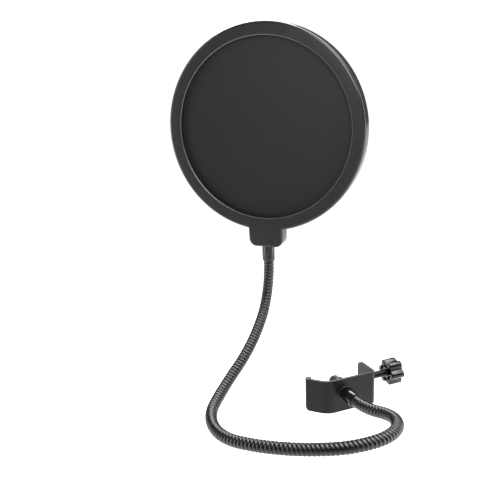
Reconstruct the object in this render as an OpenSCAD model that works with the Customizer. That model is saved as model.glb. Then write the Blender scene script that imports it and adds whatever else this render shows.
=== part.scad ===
// Pop filter: a round two-screen head on a bent gooseneck, with a screw clamp for a stand tube.
// Millimetres, +Z up along the stand tube, and the head faces -Y.
// The origin is on the axis of a tube seated in the clamp, at the strip's mid height.

/* [Head] */
// Outer diameter of the two rings
ring_d = 155; // [150:1:165]
// Depth of the head from front face to back face
ring_depth = 12.5; // [12:0.5:15]
// Diameter of the opening in the rings
opening_d = 135; // [130:1:138]
// Depth from the ring's face to its screen
screen_recess = 3.75; // [3:0.25:4.5]
// Thickness of one screen
screen_t = 0.25; // [0.2:0.05:0.5]
// Radius of the rounded outer edges
edge_r = 1.8; // [0.5:0.1:2.5]
// Number of pins that join the two rings
pin_count = 6; // [4:1:12]

/* [Tab] */
// Width of the tab under the rings
tab_w = 28; // [25:0.5:30]
// How far the tab reaches below the rings
tab_drop = 13; // [11.5:0.5:16]
// Radius of the tab's lower corners
tab_corner_r = 6; // [2:0.5:6]

/* [Gooseneck] */
// Outer diameter of the wound neck
neck_d = 8.2; // [7.8:0.1:8.2]
// Diameter of the spring inside the winding
core_d = 5.8; // [5.6:0.1:5.8]
// Width of the open gap at each flexing place
flex_gap = 2.6; // [2.5:0.1:3]
// Outer diameter of the two end ferrules
ferrule_d = 9.8; // [9.6:0.1:10]
// Length of the ferrule in the tab
top_ferrule_l = 15.5; // [15:0.5:18]
// Length of the ferrule on the clamp
bottom_ferrule_l = 13; // [12:0.5:16]

/* [Clamp] */
// Turn of the clamp about the stand tube, in degrees
clamp_yaw = 45; // [45:1:45]
// Height of the steel strip
strip_h = 24; // [22:1:26]
// Thickness of the steel strip
strip_t = 2; // [1.6:0.1:2]
// Bend between the back panel and the jaw, in degrees
jaw_bend = 48; // [48:1:48]
// Length of the jaw past its bend
jaw_l = 15; // [14:0.5:16]
// Outer radius of the rolled edge on the jaw
roll_r = 2.2; // [1.8:0.1:2.4]
// Height of the two screw holes above the strip's middle
hole_rise = 1.5; // [0:0.5:2]

/* [Thumbscrew] */
// Diameter of the clamp screw
screw_d = 5; // [4.8:0.1:5]
// Diameter over the knob's lobes
knob_d = 19; // [18:0.5:21]
// Length of the knob
knob_l = 10.5; // [9:0.5:11]
// Diameter of the pressure pad
pad_d = 13; // [12:0.5:13]

/* [Hidden] */
$fn = 96;
// Clearance on a radius between a shaft and its hole
slack = 0.05;
// How far a cutting tool reaches past the face that it cuts
reach = 1;

// Head, in its own frame: Z towards the front, Y up, the middle of the head at the origin
ring_r = ring_d / 2;
opening_r = opening_d / 2;
half_depth = ring_depth / 2;
seat_z = half_depth - screen_recess;
wall_t = 4.5;
seat_r = ring_r - wall_t;
lip_chamfer = 0.6;
screen_gap = 0.5;
screen_r = seat_r - screen_gap;
spacer_r = opening_r + 0.5;
pin_r = 1;
pin_l = 5;
pin_end_gap = 0.2;
pin_ring_r = ring_r - wall_t / 2;
tab_bottom = ring_r + tab_drop;
// How far the tab runs up into the rings' wall
tab_overlap = 3;
insert_r = 3.75;
insert_l = 8;
ferrule_depth = 3.5;
tab_screw_x = 9.4;
tab_screw_drop = 7;
tab_screw_r = 1.3;
tab_screw_head_r = 2.3;
tab_screw_head_l = 1.4;
// How far the screws' heads lie under the back face, and how far their tips stop from the front
tab_screw_sink = 0.3;
tab_screw_end = 3;
// Depth of the screws' holes short of the front face
tab_screw_skin = 1.5;

// Studs and ferrules
stud_r = screw_d / 2;
ferrule_r = ferrule_d / 2;
neck_r = neck_d / 2;
core_r = core_d / 2;
neck_insertion = 7;
// Depth of the ferrules' bore past the neck's end, and the stud's start past that
bore_gap = 1;
stud_gap = 0.2;
stud_end_gap = 0.8;
bolt_grip = 4.2;

// Clamp, in its own frame: X towards the flange, Y away from the neck
jaw_reach = 12;
back_y = -jaw_reach - strip_t;
flange_x = 32.5;
flange_top_y = 7.5;
bend_r = 3.5;
jaw_bend_r = 12;
// The steel swells a little where it is bent
bulge = 0.03;
jaw_corner_x = -6.3;
corner_r = 4;
neck_x = 7.3;
bolt_head_r = 4.6;
bolt_clearance = 0.1;
washer_t = 0.6;
roll_wall = 1.3;
pad_tip_x = 5.5;
facing_t = 1.2;
pad_t = 3.2;
boss_t = 3;
boss_r = 4.4;
pad_back_x = pad_tip_x + facing_t + pad_t;
boss_back_x = pad_back_x + boss_t;
facing_rim = 0.6;
tip_r = 2;
tip_l = 4;
socket_depth = 1;
screw_start_x = boss_back_x + 0.1;
// Clip that holds the screw's tip in the pad's boss, and its groove in the tip
clip_r = 2.9;
clip_t = 0.6;
clip_x = boss_back_x - 1.9;
clip_bite = 0.3;
groove_depth = 0.4;
knob_gap = 17;
knob_x = flange_x + knob_gap;
knob_body_r = knob_d / 2 - 2.2;
lobe_r = 3.1;
knob_top_t = 2.5;
hub_r = 4;
hollow_r = knob_d / 2 - 3.4;
hollow_l = knob_l - 4;
rib_t = 1;

// Route of the gooseneck from the clamp to the head, as tangent arcs.
// Each arc turns from one direction to the next over its length.
headings = [-45, -26, -129, -164, -195, -264, -279, -266, -266];
climbs = [0, 10, 0, -5, -7, 7, 21, 28, 90];
arc_lengths = [23, 52, 30, 60, 54, 38, 54, 46];
top_straight = 2;
// First and last arc of each rigid stretch between two flexing places
first_arc = [0, 1, 3, 5, 7];
last_arc = [0, 2, 4, 6, 7];
stretch_count = len(first_arc);
ball_r = 2.5;
ball_shank_r = 1.5;
ball_shank_l = 3.5;
shank_overlap = 0.5;
// Groove between two neighbouring pieces of one stretch, and the ring that joins them
groove = 0.2;
joint_l = 1.2;
joint_wall = 0.2;

arc_count = len(arc_lengths);
washer_y = back_y - washer_t;
neck_start = turned([neck_x, washer_y - bottom_ferrule_l, hole_rise]);
directions = [for (i = [0:arc_count]) direction(headings[i], climbs[i])];
end_side = unit(cross(directions[arc_count - 1], directions[arc_count]));
neck_top = arc_start(arc_count) + [0, 0, top_straight];
head_centre = neck_top + [0, 0, top_ferrule_l - ferrule_depth + tab_bottom];

function turned(p) = [
    p.x * cos(clamp_yaw) - p.y * sin(clamp_yaw),
    p.x * sin(clamp_yaw) + p.y * cos(clamp_yaw),
    p.z
];
function direction(heading, climb) = [
    cos(climb) * cos(heading),
    cos(climb) * sin(heading),
    sin(climb)
];
function unit(v) = v / norm(v);
function bend(i) = acos(directions[i] * directions[i + 1]);
function arc_r(i) = arc_lengths[i] * 180 / (PI * bend(i));
function side(i) = unit(directions[i + 1] - directions[i] * cos(bend(i)));
function arc_step(i) = arc_r(i) * (directions[i] * sin(bend(i)) + side(i) * (1 - cos(bend(i))));
function arc_start(i) = i == 0 ? neck_start : arc_start(i - 1) + arc_step(i - 1);

// Frames
module head_frame() {
    translate(head_centre) rotate([90, 0, 0]) children();
}
module clamp_frame() {
    rotate([0, 0, clamp_yaw]) children();
}
module screw_frame(x) {
    clamp_frame() translate([x, 0, hole_rise]) rotate([0, 90, 0]) children();
}
module neck_bolt_frame(y) {
    clamp_frame() translate([neck_x, y, hole_rise]) rotate([90, 0, 0]) children();
}
module axes_frame(x_axis, y_axis, origin) {
    z_axis = cross(x_axis, y_axis);
    multmatrix([
        [x_axis.x, y_axis.x, z_axis.x, origin.x],
        [x_axis.y, y_axis.y, z_axis.y, origin.y],
        [x_axis.z, y_axis.z, z_axis.z, origin.z],
        [0, 0, 0, 1]
    ]) children();
}

// Head
module half_profile() {
    polygon([
        [opening_r, seat_z],
        [opening_r, half_depth - lip_chamfer],
        [opening_r + lip_chamfer, half_depth],
        [ring_r - edge_r, half_depth],
        [ring_r - edge_r, half_depth - edge_r],
        [ring_r, half_depth - edge_r],
        [ring_r, 0],
        [seat_r, 0],
        [seat_r, seat_z]
    ]);
    translate([ring_r - edge_r, half_depth - edge_r]) circle(edge_r);
}
module tab_outline() {
    half_w = tab_w / 2;
    difference() {
        union() {
            translate([-half_w, -tab_bottom + tab_corner_r])
                square([tab_w, tab_drop - tab_corner_r + wall_t]);
            translate([-half_w + tab_corner_r, -tab_bottom])
                square([tab_w - 2 * tab_corner_r, tab_drop]);
            for (side_sign = [-1, 1])
                translate([side_sign * (half_w - tab_corner_r), -tab_bottom + tab_corner_r])
                    circle(tab_corner_r);
        }
        circle(ring_r - tab_overlap);
    }
}
module tab_sockets() {
    translate([0, -tab_bottom - reach, 0]) rotate([-90, 0, 0])
        cylinder(h = ferrule_depth + reach, r = ferrule_r + slack);
    translate([0, -tab_bottom, 0]) rotate([-90, 0, 0])
        cylinder(h = ferrule_depth + insert_l, r = insert_r + slack);
}
module pin_places() {
    for (i = [0:pin_count - 1])
        rotate([0, 0, (i + 0.5) * 360 / pin_count]) translate([pin_ring_r, 0, 0]) children();
}
module tab_screw_places() {
    for (side_sign = [-1, 1])
        translate([side_sign * tab_screw_x, -ring_r - tab_screw_drop, 0]) children();
}
module half_shell() {
    difference() {
        union() {
            rotate_extrude($fn = 180) half_profile();
            linear_extrude(half_depth) tab_outline();
        }
        pin_places() translate([0, 0, -reach])
            cylinder(h = pin_l / 2 + pin_end_gap + reach, r = pin_r + slack);
        tab_sockets();
    }
}
module front_ring() {
    color("#232323") head_frame() difference() {
        half_shell();
        tab_screw_places() translate([0, 0, -reach])
            cylinder(h = half_depth - tab_screw_skin + reach, r = tab_screw_r + slack);
    }
}
module rear_ring() {
    color("#1e1e1e") head_frame() difference() {
        mirror([0, 0, 1]) half_shell();
        tab_screw_places() translate([0, 0, -half_depth - reach])
            cylinder(h = half_depth + 2 * reach, r = tab_screw_r + slack);
        tab_screw_places() translate([0, 0, -half_depth - reach])
            cylinder(h = tab_screw_sink + tab_screw_head_l + reach, r = tab_screw_head_r + slack);
    }
}
module ring_pins() {
    color("#3a3a3a") head_frame() pin_places()
        translate([0, 0, -pin_l / 2]) cylinder(h = pin_l, r = pin_r);
}
module screen_disc(z) {
    head_frame() translate([0, 0, z]) cylinder(h = screen_t, r = screen_r, $fn = 180);
}
module front_screen() {
    color("#3b3b3c") screen_disc(seat_z - slack - screen_t);
}
module rear_screen() {
    color("#3b3b3c") screen_disc(slack - seat_z);
}
module screen_spacer() {
    spacer_h = 2 * (seat_z - screen_t - 2 * slack);
    color("#202020") head_frame() difference() {
        cylinder(h = spacer_h, r = screen_r, center = true, $fn = 180);
        cylinder(h = spacer_h + 2 * reach, r = spacer_r, center = true, $fn = 180);
    }
}
module tab_insert() {
    color("#b08d3e") head_frame() translate([0, -tab_bottom + ferrule_depth, 0]) rotate([-90, 0, 0])
        difference() {
            cylinder(h = insert_l, r = insert_r);
            translate([0, 0, -reach]) cylinder(h = insert_l + 2 * reach, r = stud_r);
        }
}
module tab_screws() {
    color("#2c2c2c") head_frame() tab_screw_places() translate([0, 0, tab_screw_sink - half_depth]) {
        cylinder(h = tab_screw_head_l, r = tab_screw_head_r);
        cylinder(h = ring_depth - tab_screw_sink - tab_screw_end, r = tab_screw_r);
    }
}

// Ferrules, studs and the neck's ends
module ferrule_body(length) {
    difference() {
        cylinder(h = length, r = ferrule_r);
        translate([0, 0, -reach])
            cylinder(h = neck_insertion + bore_gap + reach, r = neck_r + slack);
        cylinder(h = length + reach, r = stud_r);
    }
}
module top_ferrule() {
    color("#151515") translate(neck_top) ferrule_body(top_ferrule_l);
}
module top_stud() {
    start = neck_insertion + bore_gap + stud_gap;
    color("#77787a") translate(neck_top + [0, 0, start])
        cylinder(h = top_ferrule_l + insert_l - stud_end_gap - start, r = stud_r - slack);
}
module bottom_ferrule() {
    color("#151515") neck_bolt_frame(washer_y - bottom_ferrule_l) mirror([0, 0, 1])
        ferrule_body(bottom_ferrule_l);
}
module tooth_washer() {
    color("#8a8b8d") neck_bolt_frame(back_y) difference() {
        cylinder(h = washer_t, r = ferrule_r);
        translate([0, 0, -reach]) cylinder(h = washer_t + 2 * reach, r = stud_r + bolt_clearance);
    }
}
module neck_bolt() {
    color("#4a4a4c") neck_bolt_frame(-jaw_reach) {
        cylinder(h = strip_t + washer_t + bolt_grip, r = stud_r - slack);
        cylinder(h = strip_t - bolt_clearance, r1 = bolt_head_r - bolt_clearance, r2 = stud_r);
    }
}

// One arc of the neck, a tube or a rod, cut back from its two ends
module arc_solid(i, r, bore_r, from, to) {
    degrees_per_mm = bend(i) / arc_lengths[i];
    axes_frame(-side(i), directions[i], arc_start(i) + side(i) * arc_r(i))
        rotate([0, 0, from * degrees_per_mm])
            rotate_extrude(angle = (arc_lengths[i] - from - to) * degrees_per_mm)
                translate([arc_r(i), 0]) difference() {
                    circle(r);
                    circle(bore_r);
                }
}
module straight_solid(place, along, across, r, bore_r, length) {
    axes_frame(across, cross(along, across), place) linear_extrude(length) difference() {
        circle(r);
        circle(bore_r);
    }
}
// A short ring inside the wall, which joins two neighbouring pieces across the groove between them
module joint_ring(i, r, bore_r) {
    across = i < arc_count ? side(i) : end_side;
    straight_solid(arc_start(i) - joint_l / 2 * directions[i], directions[i], across,
        r - joint_wall, bore_r > 0 ? bore_r + joint_wall : 0, joint_l);
}
module stretch(k, r, bore_r, from, to) {
    last = stretch_count - 1;
    for (i = [first_arc[k]:last_arc[k]])
        arc_solid(i, r, bore_r,
            i == first_arc[k] && k > 0 ? from : groove / 2,
            i == last_arc[k] && k < last ? to : groove / 2);
    if (last_arc[k] > first_arc[k]) joint_ring(last_arc[k], r, bore_r);
    if (k == 0) {
        joint_ring(0, r, bore_r);
        straight_solid(neck_start - neck_insertion * directions[0], directions[0], side(0),
            r, bore_r, neck_insertion - groove / 2);
    }
    if (k == last) {
        joint_ring(arc_count, r, bore_r);
        straight_solid(neck_top + [0, 0, groove / 2 - top_straight], directions[arc_count],
            end_side, r, bore_r, neck_insertion + top_straight - groove / 2);
    }
}
module winding(k) {
    color("#1b1b1b") stretch(k, neck_r, core_r + slack, flex_gap / 2, flex_gap / 2);
}
// The spring inside, with a ball at its lower end and a cup at its upper end
module core(k) {
    has_ball = k > 0;
    has_cup = k < stretch_count - 1;
    i = first_arc[k];
    color("#6a6b6d") difference() {
        union() {
            stretch(k, core_r, 0, ball_shank_l, 0);
            if (has_ball) {
                translate(arc_start(i)) sphere(ball_r);
                straight_solid(arc_start(i), directions[i], side(i),
                    ball_shank_r, 0, ball_shank_l + shank_overlap);
            }
        }
        if (has_cup) translate(arc_start(last_arc[k] + 1)) sphere(ball_r + slack);
    }
}
module neck_winding_1() { winding(0); }
module neck_winding_2() { winding(1); }
module neck_winding_3() { winding(2); }
module neck_winding_4() { winding(3); }
module neck_winding_5() { winding(4); }
module neck_core_1() { core(0); }
module neck_core_2() { core(1); }
module neck_core_3() { core(2); }
module neck_core_4() { core(3); }
module neck_core_5() { core(4); }

// Clamp
module sector(outer_r, inner_r, from, to) {
    far = 2 * outer_r;
    middle = (from + to) / 2;
    intersection() {
        difference() {
            circle(outer_r);
            circle(inner_r);
        }
        polygon([
            [0, 0],
            far * [cos(from), sin(from)],
            far * [cos(middle), sin(middle)],
            far * [cos(to), sin(to)]
        ]);
    }
}
module strip_plan() {
    jaw_tangent = jaw_bend_r * tan(jaw_bend / 2);
    flange_bend_x = flange_x - bend_r;
    translate([jaw_corner_x + jaw_tangent, back_y])
        square([flange_bend_x - jaw_corner_x - jaw_tangent, strip_t]);
    translate([flange_bend_x, back_y + bend_r])
        sector(bend_r + bulge, bend_r - strip_t - bulge, 269, 361);
    translate([flange_x - strip_t, back_y + bend_r])
        square([strip_t, flange_top_y - back_y - bend_r]);
    translate([jaw_corner_x + jaw_tangent, back_y + jaw_bend_r])
        sector(jaw_bend_r + bulge, jaw_bend_r - strip_t - bulge, 269 - jaw_bend, 271);
    jaw_plan_frame() {
        translate([jaw_tangent, -strip_t]) square([jaw_l - jaw_tangent, strip_t]);
        translate([jaw_l, -roll_r]) circle(roll_r);
    }
}
// X runs along the jaw from its corner, and the tube is on the -Y side
module jaw_plan_frame() {
    translate([jaw_corner_x, back_y]) rotate([0, 0, 180 - jaw_bend]) children();
}
// What a rounded corner takes off a plate, at the origin, towards -X and +Z
module corner_cut(r) {
    difference() {
        translate([-r, -2 * roll_r - reach, 0])
            cube([r + reach, 2 * roll_r + 2 * reach, r + reach]);
        translate([-r, 0, 0]) rotate([90, 0, 0])
            cylinder(h = 6 * roll_r, r = r, center = true);
    }
}
module clamp_bracket() {
    color("#1d1d1f") clamp_frame() difference() {
        translate([0, 0, -strip_h / 2]) linear_extrude(strip_h) strip_plan();
        jaw_plan_frame() translate([jaw_l, -roll_r, -strip_h / 2 - reach])
            cylinder(h = strip_h + 2 * reach, r = roll_r - roll_wall);
        jaw_plan_frame() translate([jaw_l + roll_r, 0, corner_r - strip_h / 2]) mirror([0, 0, 1])
            corner_cut(corner_r);
        translate([flange_x, flange_top_y, strip_h / 2 - corner_r]) rotate([0, 0, 90])
            corner_cut(corner_r);
        translate([flange_x, flange_top_y, corner_r - strip_h / 2]) rotate([0, 0, 90])
            mirror([0, 0, 1]) corner_cut(corner_r);
        translate([flange_x - strip_t - reach, 0, hole_rise]) rotate([0, 90, 0])
            cylinder(h = strip_t + 2 * reach, r = stud_r + slack);
        translate([neck_x, reach - jaw_reach, hole_rise]) rotate([90, 0, 0])
            cylinder(h = strip_t + 2 * reach, r = stud_r + bolt_clearance);
        translate([neck_x, -jaw_reach, hole_rise]) rotate([90, 0, 0])
            cylinder(h = strip_t - bolt_clearance, r1 = bolt_head_r, r2 = stud_r + bolt_clearance);
    }
}

// Thumbscrew, pad and knob, along the clamp's X axis
module pad_facing() {
    color("#2a2a2a") screw_frame(pad_tip_x) cylinder(h = facing_t, r = pad_d / 2 - facing_rim);
}
module pressure_pad() {
    color("#141414") difference() {
        union() {
            screw_frame(pad_tip_x + facing_t) cylinder(h = pad_t, r = pad_d / 2);
            screw_frame(pad_back_x) cylinder(h = boss_t, r = boss_r);
        }
        screw_frame(pad_back_x - socket_depth)
            cylinder(h = boss_t + socket_depth + reach, r = tip_r + slack);
        screw_frame(clip_x - slack) cylinder(h = clip_t + 2 * slack, r = clip_r + slack);
    }
}
module pad_clip() {
    color("#9a9b9d") screw_frame(clip_x) difference() {
        cylinder(h = clip_t, r = clip_r);
        translate([0, 0, -reach]) cylinder(h = clip_t + 2 * reach, r = tip_r - clip_bite);
    }
}
module clamp_screw() {
    color("#2b2b2d") difference() {
        union() {
            screw_frame(screw_start_x - tip_l) cylinder(h = tip_l, r = tip_r);
            screw_frame(screw_start_x)
                cylinder(h = knob_x + knob_l - knob_top_t - slack - screw_start_x, r = stud_r);
        }
        screw_frame(clip_x - slack) difference() {
            cylinder(h = clip_t + 2 * slack, r = stud_r);
            translate([0, 0, -reach])
                cylinder(h = clip_t + 2 * reach, r = tip_r - groove_depth);
        }
    }
}
module knob_outline() {
    circle(knob_body_r);
    for (turn = [0:60:300]) rotate(turn) translate([knob_d / 2 - lobe_r, 0]) circle(lobe_r);
}
module knob() {
    color("#101010") screw_frame(knob_x) difference() {
        linear_extrude(knob_l) knob_outline();
        translate([0, 0, -reach]) cylinder(h = knob_l - knob_top_t + reach, r = stud_r + slack);
        translate([0, 0, -reach]) difference() {
            cylinder(h = hollow_l + reach, r = hollow_r);
            cylinder(h = hollow_l + reach, r = hub_r);
            for (turn = [0:60:300]) rotate([0, 0, turn]) translate([0, -rib_t / 2, 0])
                cube([knob_d / 2, rib_t, hollow_l + reach]);
        }
    }
}

front_ring();
rear_ring();
ring_pins();
front_screen();
rear_screen();
screen_spacer();
tab_insert();
tab_screws();
top_stud();
top_ferrule();
neck_winding_1();
neck_winding_2();
neck_winding_3();
neck_winding_4();
neck_winding_5();
neck_core_1();
neck_core_2();
neck_core_3();
neck_core_4();
neck_core_5();
bottom_ferrule();
tooth_washer();
neck_bolt();
clamp_bracket();
clamp_screw();
knob();
pressure_pad();
pad_clip();
pad_facing();
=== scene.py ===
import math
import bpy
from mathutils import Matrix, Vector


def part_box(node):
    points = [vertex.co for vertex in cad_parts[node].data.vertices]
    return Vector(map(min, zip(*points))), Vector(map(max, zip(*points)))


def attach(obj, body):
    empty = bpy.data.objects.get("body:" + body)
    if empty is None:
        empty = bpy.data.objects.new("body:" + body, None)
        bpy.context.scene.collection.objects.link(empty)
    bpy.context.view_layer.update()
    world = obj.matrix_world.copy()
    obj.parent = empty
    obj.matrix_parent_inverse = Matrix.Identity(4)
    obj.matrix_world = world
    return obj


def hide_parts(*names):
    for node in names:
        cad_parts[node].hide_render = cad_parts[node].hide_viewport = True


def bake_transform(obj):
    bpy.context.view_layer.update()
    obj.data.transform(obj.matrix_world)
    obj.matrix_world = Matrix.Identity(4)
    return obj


bl_info = {
    "name": "Pop Filter",
    "version": (1, 0, 0),
    "blender": (4, 5, 0),
    "location": "3D View > Sidebar > Pop Filter",
    "description": "Models a round pop filter on a gooseneck with its stand clamp",
    "category": "Add Mesh",
}

import bmesh
import bpy
from bpy.props import FloatProperty, FloatVectorProperty, IntProperty, PointerProperty
from bpy.types import Operator, Panel, PropertyGroup
from mathutils import Matrix, Vector

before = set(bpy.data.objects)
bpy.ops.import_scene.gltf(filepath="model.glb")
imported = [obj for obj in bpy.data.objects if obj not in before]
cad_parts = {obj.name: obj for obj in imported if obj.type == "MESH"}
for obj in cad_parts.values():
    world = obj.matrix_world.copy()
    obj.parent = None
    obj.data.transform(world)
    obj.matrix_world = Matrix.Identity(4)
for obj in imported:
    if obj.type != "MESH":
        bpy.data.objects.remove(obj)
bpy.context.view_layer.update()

MM = 0.001
UP = Vector((0, 0, 1))


def middle(node):
    """The middle of a CAD node's box."""
    low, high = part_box(node)
    return (Vector(low) + Vector(high)) / 2


def size(node):
    """The size of a CAD node's box."""
    low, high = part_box(node)
    return Vector(high) - Vector(low)


# Places that come from the frame
RING_LOW, RING_HIGH = (Vector(corner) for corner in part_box("front_ring"))
REAR_LOW, REAR_HIGH = (Vector(corner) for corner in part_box("rear_ring"))
RING_R = size("front_ring").x / 2
FRONT_Y = RING_LOW.y
BACK_Y = REAR_HIGH.y
HEAD = Vector((middle("front_ring").x, RING_HIGH.y, RING_HIGH.z - RING_R))
TAB_LOW = RING_LOW.z
SCREW_ALONG = Vector((1, 1, 0)).normalized()
CLAMP_BACK = Vector((-1, 1, 0)).normalized()
HOLE_Z = middle("clamp_screw").z


def clamp_point(x, y, z):
    """A point in the clamp's own directions, X towards the flange and Y away from the neck."""
    return SCREW_ALONG * x + CLAMP_BACK * y + UP * z


# ---------------------------------------------------------------- sizes


class HeadSizes(PropertyGroup):
    opening: FloatProperty(
        name="Opening", description="Radius of the opening in the rings",
        default=67.5 * MM, unit="LENGTH",
    )
    recess: FloatProperty(
        name="Recess", description="Depth from the ring's face to the screen",
        default=3.75 * MM, unit="LENGTH",
    )
    edge: FloatProperty(
        name="Edge", description="Radius of the ring's rounded outer edge",
        default=1.8 * MM, unit="LENGTH",
    )
    lip: FloatProperty(
        name="Lip", description="Bevel round the opening",
        default=0.6 * MM, unit="LENGTH",
    )
    tab_width: FloatProperty(
        name="Tab width", description="Width of the tab under the ring",
        default=28 * MM, unit="LENGTH",
    )
    tab_corner: FloatProperty(
        name="Tab corner", description="Radius of the tab's lower corners",
        default=6 * MM, unit="LENGTH",
    )
    steps: IntProperty(
        name="Steps", description="Steps round the rings",
        default=180, min=48,
    )


class NeckSizes(PropertyGroup):
    radius: FloatProperty(
        name="Radius", description="Outer radius of the winding",
        default=4.1 * MM, unit="LENGTH",
    )
    pitch: FloatProperty(
        name="Pitch", description="Distance from one turn of the winding to the next",
        default=2.7 * MM, unit="LENGTH",
    )
    groove: FloatProperty(
        name="Groove", description="Depth of the groove between two turns",
        default=0.42 * MM, unit="LENGTH",
    )
    core: FloatProperty(
        name="Core", description="Outer radius of the spring inside",
        default=2.7 * MM, unit="LENGTH",
    )
    insertion: FloatProperty(
        name="Insertion", description="Length of neck inside each ferrule",
        default=7 * MM, unit="LENGTH",
    )
    steps: IntProperty(
        name="Steps", description="Steps round the winding",
        default=24, min=8,
    )


class ClampSizes(PropertyGroup):
    thickness: FloatProperty(
        name="Thickness", description="Thickness of the steel strip",
        default=2 * MM, unit="LENGTH",
    )
    height: FloatProperty(
        name="Height", description="Height of the steel strip",
        default=size("clamp_bracket").z, unit="LENGTH",
    )
    jaw_bend: FloatProperty(
        name="Jaw bend", description="Bend between the back panel and the jaw",
        default=math.radians(48), subtype="ANGLE",
    )
    jaw_length: FloatProperty(
        name="Jaw length", description="Length of the jaw from its corner to the rolled edge",
        default=15 * MM, unit="LENGTH",
    )
    roll: FloatProperty(
        name="Roll", description="Outer radius of the rolled edge",
        default=2.2 * MM, unit="LENGTH",
    )
    corner: FloatProperty(
        name="Corner", description="Radius of the strip's rounded corners",
        default=4 * MM, unit="LENGTH",
    )
    knob_radius: FloatProperty(
        name="Knob", description="Radius over the knob's lobes",
        default=9.5 * MM, unit="LENGTH",
    )
    thread_pitch: FloatProperty(
        name="Thread", description="Pitch of the clamp screw",
        default=0.8 * MM, unit="LENGTH",
    )


def colour(name, description, value):
    return FloatVectorProperty(
        name=name, description=description, subtype="COLOR", size=3, min=0, max=1, default=value
    )


class Finishes(PropertyGroup):
    ring: colour("Ring", "Matt plastic of the rings", (0.011, 0.011, 0.0115))
    cloth: colour("Cloth", "Nylon of the screens", (0.011, 0.011, 0.0115))
    winding: colour("Winding", "Black wire of the neck", (0.005, 0.005, 0.0055))
    ferrule: colour("Ferrule", "Gloss black of the ferrules", (0.004, 0.004, 0.0045))
    strip: colour("Strip", "Satin coating of the clamp", (0.006, 0.006, 0.007))
    knob: colour("Knob", "Gloss plastic of the knob", (0.003, 0.003, 0.0035))
    blacked: colour("Black steel", "Black steel of the screws", (0.010, 0.010, 0.011))
    zinc: colour("Zinc", "Zinc plate on the small steel parts", (0.52, 0.52, 0.54))
    brass: colour("Brass", "Brass of the tab's insert", (0.62, 0.43, 0.16))
    rubber: colour("Rubber", "Rubber facing of the pad", (0.015, 0.015, 0.015))


SIZES = {"pf_head": HeadSizes, "pf_neck": NeckSizes, "pf_clamp": ClampSizes, "pf_finish": Finishes}


# ---------------------------------------------------------------- shader maths


class Value:
    """A shader socket that adds Math nodes when it is used in an expression."""

    def __init__(self, maker, socket):
        self.maker = maker
        self.socket = socket

    def _math(self, operation, first, second=0.0):
        return self.maker.node("ShaderNodeMath", {"operation": operation}, {0: first, 1: second})[0]

    def __add__(self, other):
        return self._math("ADD", self, other)

    __radd__ = __add__

    def __mul__(self, other):
        return self._math("MULTIPLY", self, other)

    __rmul__ = __mul__

    def __sub__(self, other):
        return self._math("SUBTRACT", self, other)

    def __rsub__(self, other):
        return self._math("SUBTRACT", other, self)

    def __truediv__(self, other):
        return self._math("DIVIDE", self, other)

    def power(self, exponent):
        return self._math("POWER", self, exponent)

    def sine(self):
        return self._math("SINE", self)

    def absolute(self):
        return self._math("ABSOLUTE", self)

    def over(self, limit):
        return self._math("GREATER_THAN", self, limit)

    def clamped(self):
        return self.maker.node("ShaderNodeClamp", {}, {0: self})[0]


class Finish:
    """A node material built by code. node() is the one way in which nodes are added."""

    def __init__(self, name):
        self.material = bpy.data.materials.new(name)
        self.material.use_nodes = True
        self.tree = self.material.node_tree
        self.shader = self.tree.nodes["Principled BSDF"]

    def node(self, kind, settings, inputs):
        made = self.tree.nodes.new(kind)
        for name, value in settings.items():
            if name == "stops":
                ramp = made.color_ramp
                while len(ramp.elements) > 1:
                    ramp.elements.remove(ramp.elements[-1])
                for number, (place, grey) in enumerate(value):
                    stop = ramp.elements[0] if number == 0 else ramp.elements.new(place)
                    stop.position = place
                    stop.color = (grey, grey, grey, 1)
            else:
                setattr(made, name, value)
        for key, value in inputs.items():
            self.join(made.inputs[key], value)
        return [Value(self, socket) for socket in made.outputs]

    def join(self, socket, value):
        if isinstance(value, Value):
            self.tree.links.new(value.socket, socket)
        else:
            socket.default_value = value

    def feed(self, **inputs):
        for name, value in inputs.items():
            self.join(self.shader.inputs[name.replace("_", " ")], value)
        return self

    def place(self, scale=1.0):
        coordinates = self.node("ShaderNodeTexCoord", {}, {})[3]
        return self.node("ShaderNodeMapping", {}, {0: coordinates, 3: (scale, scale, scale)})[0]

    def noise(self, scale, detail=3.0, rough=0.55, at=None):
        inputs = {"Vector": at or self.place(), "Scale": scale, "Detail": detail, "Roughness": rough}
        return self.node("ShaderNodeTexNoise", {}, inputs)[0]

    def mixed(self, factor, first, second):
        inputs = {0: factor, 6: (*first, 1), 7: (*second, 1)}
        return self.node("ShaderNodeMix", {"data_type": "RGBA"}, inputs)[2]

    def bumped(self, height, distance, strength=1.0):
        inputs = {"Height": height, "Distance": distance, "Strength": strength}
        return self.node("ShaderNodeBump", {}, inputs)[0]


def tinted(base, factor):
    return tuple(min(1.0, channel * factor) for channel in base)


def moulded_plastic(name, base, roughness, grain, grain_height, specular=0.4):
    """Moulded plastic with a fine spark-eroded grain and slight wear."""
    finish = Finish(name)
    fine = finish.noise(grain, 4.0, 0.7)
    broad = finish.noise(35.0, 2.0)
    tone = (fine * 0.6 + broad * 0.4).clamped()
    finish.feed(
        Base_Color=finish.mixed(tone, tinted(base, 0.8), tinted(base, 1.25)),
        Roughness=(roughness - 0.06 + 0.12 * broad).clamped(),
        Normal=finish.bumped(fine, grain_height),
    )
    finish.shader.inputs["Specular IOR Level"].default_value = specular
    return finish.material


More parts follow.
